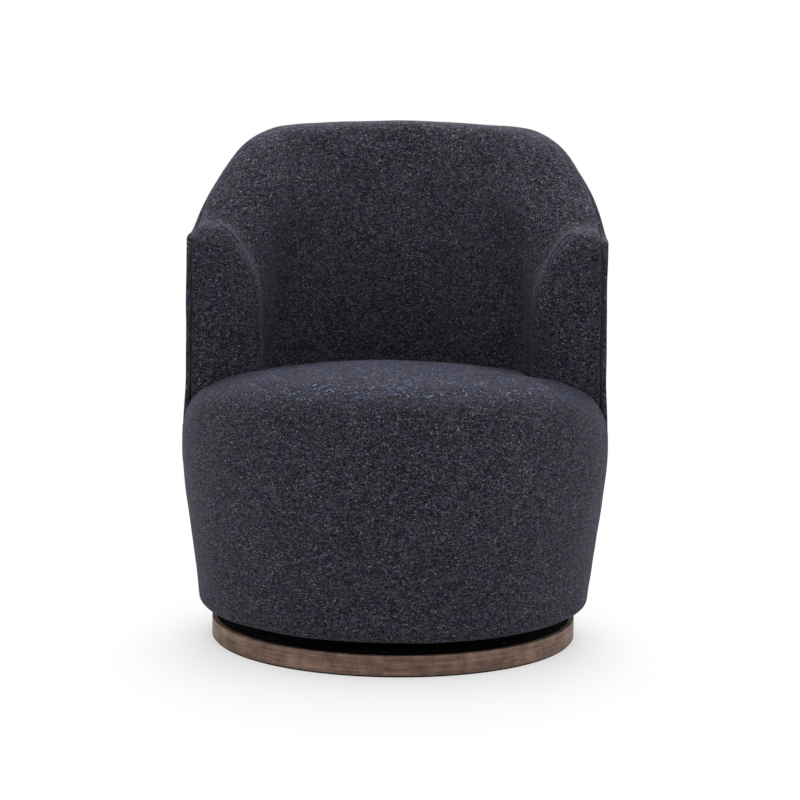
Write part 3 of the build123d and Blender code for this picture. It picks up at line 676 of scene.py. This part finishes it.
# A plain weave of heathered yarns on cloth coordinates in metres. Warp and weft take turns on
# a chequer of crossings. Each yarn keeps a shade for a few crossings: white noise of its number
# and run, raised to a power, between dark and light. A few crossings are pale slubs.
def makeWeaveGroup():
    look = clothLook
    group = bpy.data.node_groups.new("heatheredWeave", "ShaderNodeTree")
    group.interface.new_socket("Vector", in_out="INPUT", socket_type="NodeSocketVector")
    group.interface.new_socket("Color", in_out="OUTPUT", socket_type="NodeSocketColor")
    group.interface.new_socket("Height", in_out="OUTPUT", socket_type="NodeSocketFloat")
    start = group.nodes.new("NodeGroupInput").outputs[0]
    end = group.nodes.new("NodeGroupOutput")

    def calc(operation, a, b=0.5):
        return mathNode(group, operation, a, b)

    def white(x, y, z):
        place = addNode(group, "ShaderNodeCombineXYZ", None, X=x, Y=y, Z=z).outputs[0]
        noise = addNode(group, "ShaderNodeTexWhiteNoise", {"noise_dimensions": "3D"}, Vector=place)
        return noise.outputs["Value"]

    # yarns wander a little, which keeps the crossings from lining up
    wander = addNode(group, "ShaderNodeTexNoise", {"Scale": look["wanderScale"], "Detail": 2.0}, Vector=start)
    wander = addNode(group, "ShaderNodeVectorMath", {"operation": "SCALE", "Scale": look["wander"]},
                     i0=wander.outputs["Color"])
    place = addNode(group, "ShaderNodeVectorMath", {"operation": "ADD"}, i0=start, i1=wander.outputs[0])
    split = addNode(group, "ShaderNodeSeparateXYZ", None, Vector=place.outputs[0])
    u = calc("MULTIPLY", split.outputs[0], 1 / look["pitch"][0])
    v = calc("MULTIPLY", split.outputs[1], 1 / look["pitch"][1])
    i, j = calc("FLOOR", u), calc("FLOOR", v)
    onTop = calc("FLOORED_MODULO", calc("ADD", i, j), 2.0)
    warpStart = calc("ADD", j, calc("MULTIPLY", white(i, 0.0, 5.0), 9.0))
    warpRun = calc("FLOOR", calc("DIVIDE", warpStart, float(look["warpRun"])))
    weftStart = calc("ADD", i, calc("MULTIPLY", white(0.0, j, 6.0), 9.0))
    weftRun = calc("FLOOR", calc("DIVIDE", weftStart, float(look["weftRun"])))
    warp, weft = white(i, warpRun, 1.0), white(weftRun, j, 2.0)
    yarn = calc("ADD", calc("MULTIPLY", warp, calc("SUBTRACT", 1.0, onTop)), calc("MULTIPLY", weft, onTop))
    fibre = white(i, j, 3.0)
    shade = calc("ADD", calc("MULTIPLY", yarn, 0.62), calc("MULTIPLY", fibre, 0.38))
    shade = remap(group, shade, 0.12, 0.88)
    colour = mixColour(group, calc("POWER", shade, look["contrast"]), look["dark"], look["light"])

    slubPlace = [calc("FLOOR", calc("DIVIDE", axis, run)) for axis, run in zip((u, v), look["slubRun"])]
    slub = calc("LESS_THAN", white(*slubPlace, 4.0), look["slubShare"])
    colour = mixColour(group, slub, colour, look["slub"])
    patches = noiseAt(group, start, look["patch"], (1, 1.6, 1), 3.0, 0.65)
    tint = mixColour(group, remap(group, patches, 0.36, 0.62), look["navy"], look["grey"])
    colour = mixColour(group, 1.0, colour, tint, "MULTIPLY")
    cloud = noiseAt(group, start, 11, (1, 1, 1), 3.0, 0.6)
    colour = mixColour(group, 1.0, colour, mixColour(group, remap(group, cloud, 0.3, 0.7),
                                                    (0.90, 0.90, 0.92), (1.10, 1.09, 1.08)), "MULTIPLY")
    waveU = calc("SINE", calc("MULTIPLY", u, 3.14159))
    waveV = calc("SINE", calc("MULTIPLY", v, 3.14159))
    crossing = calc("ABSOLUTE", calc("MULTIPLY", waveU, waveV))
    height = calc("ADD", calc("MULTIPLY", crossing, 0.5), calc("MULTIPLY", shade, 0.5))
    group.links.new(colour, end.inputs["Color"])
    group.links.new(height, end.inputs["Height"])
    return group


def finishCloth(tree, shader, colour, height):
    look = clothLook
    bump = addNode(tree, "ShaderNodeBump", {"Strength": look["relief"], "Distance": look["reliefDepth"]},
                   Height=height)
    tree.links.new(colour, shader.inputs["Base Color"])
    tree.links.new(bump.outputs[0], shader.inputs["Normal"])
    shader.inputs["Roughness"].default_value = look["rough"]
    shader.inputs["Specular IOR Level"].default_value = look["specular"]
    shader.inputs["Sheen Weight"].default_value = look["sheen"]
    shader.inputs["Sheen Roughness"].default_value = look["sheenRough"]
    shader.inputs["Sheen Tint"].default_value = look["sheenTint"]


# Cloth on one UV map.
def makeCloth(name, weave):
    material, tree, shader = newMaterial(name)
    uv = addNode(tree, "ShaderNodeUVMap", {"uv_map": "cloth"})
    pattern = addNode(tree, "ShaderNodeGroup", {"node_tree": weave}, Vector=uv.outputs[0])
    finishCloth(tree, shader, pattern.outputs["Color"], pattern.outputs["Height"])
    return material


# painted sheen for the seat's top: the power gives its yarns more contrast, and the gain, bluer than the
# wall's, brings the brightness back
seatTopSheen = dict(power=1.55, gain=(4.60, 4.60, 4.90))


# Cloth that turns from the seat's top to the drum's wall: two maps, mixed over the roll.
def makeSeatCloth(name, weave):
    material, tree, shader = newMaterial(name)
    patterns = []
    for mapName in ("cloth", "wallCloth"):
        uv = addNode(tree, "ShaderNodeUVMap", {"uv_map": mapName})
        patterns.append(addNode(tree, "ShaderNodeGroup", {"node_tree": weave}, Vector=uv.outputs[0]))
    onWall = addNode(tree, "ShaderNodeAttribute", {"attribute_name": "onWall"}).outputs["Fac"]
    # painted sheen and highlights on the seat's top: seen from the side its yarns stand out more in the
    # light, so its colour gets more contrast and a bluer gain than the wall, colour^g * k
    sheenedTop = addNode(tree, "ShaderNodeGamma", {"Gamma": seatTopSheen["power"]},
                     Color=patterns[0].outputs["Color"])
    sheenedTop = mixColour(tree, 1.0, sheenedTop.outputs[0], seatTopSheen["gain"], "MULTIPLY")
    colour = mixColour(tree, onWall, sheenedTop, patterns[1].outputs["Color"])
    onTop = mathNode(tree, "SUBTRACT", 1.0, onWall)
    height = mathNode(tree, "ADD", mathNode(tree, "MULTIPLY", patterns[0].outputs["Height"], onTop),
                      mathNode(tree, "MULTIPLY", patterns[1].outputs["Height"], onWall))
    finishCloth(tree, shader, colour, height)
    return material


woodLook = dict(dark=(0.095, 0.055, 0.040), mid=(0.195, 0.124, 0.096), pale=(0.310, 0.210, 0.163))


# Stained walnut that is bent round the plinth: grain runs along the circle, so the pattern
# reads the angle round the axis as its length.
def makeWalnut():
    material, tree, shader = newMaterial("walnutVeneer", 0.42)
    place = addNode(tree, "ShaderNodeTexCoord").outputs["Object"]
    split = addNode(tree, "ShaderNodeSeparateXYZ", None, Vector=place)
    angle = mathNode(tree, "ARCTAN2", split.outputs[0], split.outputs[1])
    along = mathNode(tree, "MULTIPLY", angle, 0.295)
    grainPlace = addNode(tree, "ShaderNodeCombineXYZ", None, X=along, Z=split.outputs[2]).outputs[0]
    broad = noiseAt(tree, grainPlace, 1.0, (7, 1, 160), 4.0, 0.6)
    fine = noiseAt(tree, grainPlace, 1.0, (45, 1, 1500), 3.0, 0.6)
    tone = mixColour(tree, remap(tree, broad, 0.32, 0.68), woodLook["dark"], woodLook["pale"])
    tone = mixColour(tree, 0.35, tone, woodLook["mid"])
    figure = remap(tree, noiseAt(tree, grainPlace, 1.0, (34, 1, 22), 3.0, 0.65), 0.36, 0.62, 0.66, 1.12)
    figured = addNode(tree, "ShaderNodeCombineColor", None, Red=figure, Green=figure, Blue=figure).outputs[0]
    tone = mixColour(tree, 1.0, tone, figured, "MULTIPLY")
    pores = remap(tree, fine, 0.38, 0.60, 0.70, 1.10)
    shade = addNode(tree, "ShaderNodeCombineColor", None, Red=pores, Green=pores, Blue=pores).outputs[0]
    tree.links.new(mixColour(tree, 1.0, tone, shade, "MULTIPLY"), shader.inputs["Base Color"])
    tree.links.new(remap(tree, fine, 0.3, 0.7, 0.56, 0.44), shader.inputs["Roughness"])
    shader.inputs["Specular IOR Level"].default_value = 0.08
    bump = addNode(tree, "ShaderNodeBump", {"Strength": 0.25, "Distance": 0.0004}, Height=fine)
    tree.links.new(bump.outputs[0], shader.inputs["Normal"])
    return material


# A plain finish with a little mottle, for parts that are mostly hidden.
def makePlain(name, colour, rough, metal=0.0, scale=120.0, spread=0.18, depth=0.0003):
    material, tree, shader = newMaterial(name, rough)
    place = addNode(tree, "ShaderNodeTexCoord").outputs["Object"]
    mottle = noiseAt(tree, place, scale, (1, 1, 1), 4.0, 0.6)
    low = tuple(c * (1 - spread) for c in colour)
    high = tuple(min(1, c * (1 + spread)) for c in colour)
    tree.links.new(mixColour(tree, remap(tree, mottle, 0.3, 0.7), low, high), shader.inputs["Base Color"])
    uneven = remap(tree, mottle, 0.3, 0.7, rough * 0.9, min(1, rough * 1.1))
    tree.links.new(uneven, shader.inputs["Roughness"])
    bump = addNode(tree, "ShaderNodeBump", {"Strength": 0.3, "Distance": depth}, Height=mottle)
    tree.links.new(bump.outputs[0], shader.inputs["Normal"])
    shader.inputs["Metallic"].default_value = metal
    if max(colour) < 0.02:
        shader.inputs["Specular IOR Level"].default_value = 0.08
    return material


# name of the record's slot: colour, roughness, metal, scale of the mottle
plainLooks = dict(
    glide=((0.016, 0.016, 0.017), 0.75, 0.0, 300.0),
    plywood=((0.50, 0.37, 0.23), 0.65, 0.0, 60.0),
    # black paint of the plinth's top, set darker than any paint so that the gap under the seat renders black:
    # partly real black paint, partly painted shade in that gap
    black_board=((0.0025, 0.0025, 0.0025), 0.95, 0.0, 200.0),
    zinc_steel=((0.16, 0.16, 0.165), 0.50, 1.0, 300.0),
    pressed_steel=((0.008, 0.008, 0.008), 0.55, 0.0, 250.0),
    ball_steel=((0.75, 0.75, 0.76), 0.12, 1.0, 200.0),
    retainer_nylon=((0.70, 0.68, 0.62), 0.5, 0.0, 200.0),
    black_cloth=((0.003, 0.003, 0.003), 0.95, 0.0, 900.0),
    spring_steel=((0.32, 0.32, 0.33), 0.4, 1.0, 300.0),
    chipboard=((0.38, 0.29, 0.19), 0.8, 0.0, 400.0),
    foam=((0.72, 0.68, 0.55), 0.95, 0.0, 700.0),
    webbing=((0.05, 0.05, 0.05), 0.9, 0.0, 800.0),
)


def paintFrame(wood):
    finishes = {slot: makePlain(slot, *look) for slot, look in plainLooks.items()}
    finishes["walnut"] = wood
    finishes["upholstery"] = finishes["black_cloth"]
    for part in frame["record"]["subparts"]:
        obj = frame["nodes"][part["node"]]
        finish = finishes[part["material_slot"]]
        obj.data.materials.clear()
        obj.data.materials.append(finish)


# ---------- stage ----------

stageLook = dict(
    azimuth=2.6, distance=5.6166, height=1.3445, aim=0.3931, lens=156.35, roll=0.626, side=0.0076,
)
floorLook = dict(size=30.0, seen=0.27, glow=0.575, fadeFrom=0.30, fadeTo=0.80)


def makeFloor():
    look = floorLook
    size = look["size"]
    points = np.array([[-size, -size, 0], [size, -size, 0], [size, size, 0], [-size, size, 0]])
    floor = makeMesh("floor", points, [[0, 1, 2, 3]])
    material = bpy.data.materials.new("paleFloor")
    material.use_nodes = True
    tree = material.node_tree
    tree.nodes.clear()
    diffuse = addNode(tree, "ShaderNodeBsdfDiffuse", {"Color": (0.8, 0.8, 0.8, 1)}).outputs[0]
    shadowed = addNode(tree, "ShaderNodeBsdfDiffuse", {"Color": (*[look["seen"]] * 3, 1)}).outputs[0]
    glow = addNode(tree, "ShaderNodeEmission", {"Color": (1, 1, 1, 1), "Strength": look["glow"]}).outputs[0]
    white = addNode(tree, "ShaderNodeEmission", {"Color": (1, 1, 1, 1), "Strength": 1.0}).outputs[0]
    lit = addNode(tree, "ShaderNodeAddShader")
    tree.links.new(shadowed, lit.inputs[0])
    tree.links.new(glow, lit.inputs[1])
    # away from the chair the floor goes over into the white background
    place = addNode(tree, "ShaderNodeTexCoord").outputs["Object"]
    distance = addNode(tree, "ShaderNodeVectorMath", {"operation": "LENGTH"}, i0=place).outputs["Value"]
    far = remap(tree, distance, look["fadeFrom"], look["fadeTo"])
    faded = addNode(tree, "ShaderNodeMixShader")
    tree.links.new(far, faded.inputs[0])
    tree.links.new(lit.outputs[0], faded.inputs[1])
    tree.links.new(white, faded.inputs[2])
    seen = addNode(tree, "ShaderNodeLightPath").outputs["Is Camera Ray"]
    mix = addNode(tree, "ShaderNodeMixShader")
    tree.links.new(seen, mix.inputs[0])
    tree.links.new(diffuse, mix.inputs[1])
    tree.links.new(faded.outputs[0], mix.inputs[2])
    out = addNode(tree, "ShaderNodeOutputMaterial")
    tree.links.new(mix.outputs[0], out.inputs[0])
    floor.data.materials.append(material)


# name: place, point it faces, size, watts
lamps = dict(
    topLight=((0.1, -0.3, 3.4), (0, 0, 0.4), 2.4, 72.0),
    topFrontLight=((0.0, -2.4, 3.0), (0, 0, 0.4), 1.8, 8.0),
    topRearLight=((0.0, 1.9, 2.8), (0, 0, 0.5), 1.8, 95.0),
    leftLight=((-3.0, -1.6, 0.75), (0, 0, 0.35), 1.3, 6.0),
    leftSideLight=((-3.2, 0.5, 1.2), (-0.2, 0, 0.45), 2.0, 17.0),
    rightSideLight=((3.2, 0.1, 1.2), (0.2, 0, 0.45), 2.0, 20.0),
)


roomLook = dict(soft=0.71)               # light from all round


def makeLights():
    for name, (place, target, size, watts) in lamps.items():
        data = bpy.data.lights.new(name, "AREA")
        data.size = size
        data.energy = watts
        lamp = bpy.data.objects.new(name, data)
        bpy.context.scene.collection.objects.link(lamp)
        lamp.location = place
        lamp.rotation_euler = (Vector(target) - Vector(place)).to_track_quat("-Z", "Y").to_euler()
    world = bpy.data.worlds.new("paleRoom")
    bpy.context.scene.world = world
    world.use_nodes = True
    tree = world.node_tree
    tree.nodes.clear()
    path = addNode(tree, "ShaderNodeLightPath")
    mirrored = mathNode(tree, "MAXIMUM", path.outputs["Is Glossy Ray"], path.outputs["Is Transmission Ray"])
    seen = mathNode(tree, "MAXIMUM", path.outputs["Is Camera Ray"], mirrored)
    white = addNode(tree, "ShaderNodeBackground", {"Color": (1, 1, 1, 1), "Strength": 1.0}).outputs[0]
    soft = addNode(tree, "ShaderNodeBackground", {"Color": (1, 1, 1, 1), "Strength": roomLook["soft"]})
    mix = addNode(tree, "ShaderNodeMixShader")
    tree.links.new(seen, mix.inputs[0])
    tree.links.new(soft.outputs[0], mix.inputs[1])
    tree.links.new(white, mix.inputs[2])
    out = addNode(tree, "ShaderNodeOutputWorld")
    tree.links.new(mix.outputs[0], out.inputs[0])


def makeCamera():
    look = stageLook
    turn = radians(look["azimuth"])
    data = bpy.data.cameras.new("camera")
    data.lens = look["lens"]
    data.sensor_width = 36.0
    camera = bpy.data.objects.new("camera", data)
    bpy.context.scene.collection.objects.link(camera)
    right = Vector((cos(turn), sin(turn), 0))
    place = Vector((look["distance"] * sin(turn), -look["distance"] * cos(turn), look["height"]))
    camera.location = place + right * look["side"]
    target = Vector((0, 0, look["aim"])) + right * look["side"]
    face = (target - camera.location).to_track_quat("-Z", "Y").to_matrix().to_4x4()
    rolled = face @ Matrix.Rotation(radians(look["roll"]), 4, "Z")
    camera.matrix_world = Matrix.Translation(camera.location) @ rolled
    bpy.context.scene.camera = camera
    bpy.context.scene.view_settings.view_transform = "Standard"


# ---------- building ----------

makeFloor()
makeLights()
makeCamera()
print("stage ready")

paintFrame(makeWalnut())
weave = makeWeaveGroup()
cloth = makeCloth("heatheredCloth", weave)
seatCloth = makeSeatCloth("heatheredSeatCloth", weave)
print("materials ready")

shellPiece = makeShell()
padPiece = makePad()
seatPiece = makeSeat()


fixed = dict(
    padOut=0.322, padLow=0.450, padRim=0.292, padUnder=0.006,
    seatLow=0.086, seatTuckY=-0.040, seatTuckZ=0.435,
)


# The pad is fixed beside the shell, behind and under the seat.
def padHeld(place):
    x, y, z = place.T
    radius = np.hypot(x, np.clip(y, 0, None))
    underRim = (radius > fixed["padRim"]) & (z < edgeHeight(y) - fixed["padUnder"])
    return (radius > fixed["padOut"]) | (z < fixed["padLow"]) | underRim


# The seat is fixed under its hem and where it is tucked in between the arms and back.
def seatHeld(place):
    x, y, z = place.T
    return (z < fixed["seatLow"]) | ((y > fixed["seatTuckY"]) & (z < fixed["seatTuckZ"]))


swell(padPiece, padHeld)
swell(seatPiece, seatHeld)
print("filling ready")

for piece, material in ((shellPiece, cloth), (padPiece, cloth), (seatPiece, seatCloth)):
    makeUneven(piece)
    piece.data.materials.append(material)
    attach(piece, "seat_body")
skin = seatPiece.modifiers.new("skin", "SOLIDIFY")
skin.thickness = seat["thick"]
skin.offset = -1
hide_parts("outer_cover")
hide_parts("inside_cover", "inside_foam")
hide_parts("seat_cover", "seat_foam", "front_padding")
print("upholstery ready")
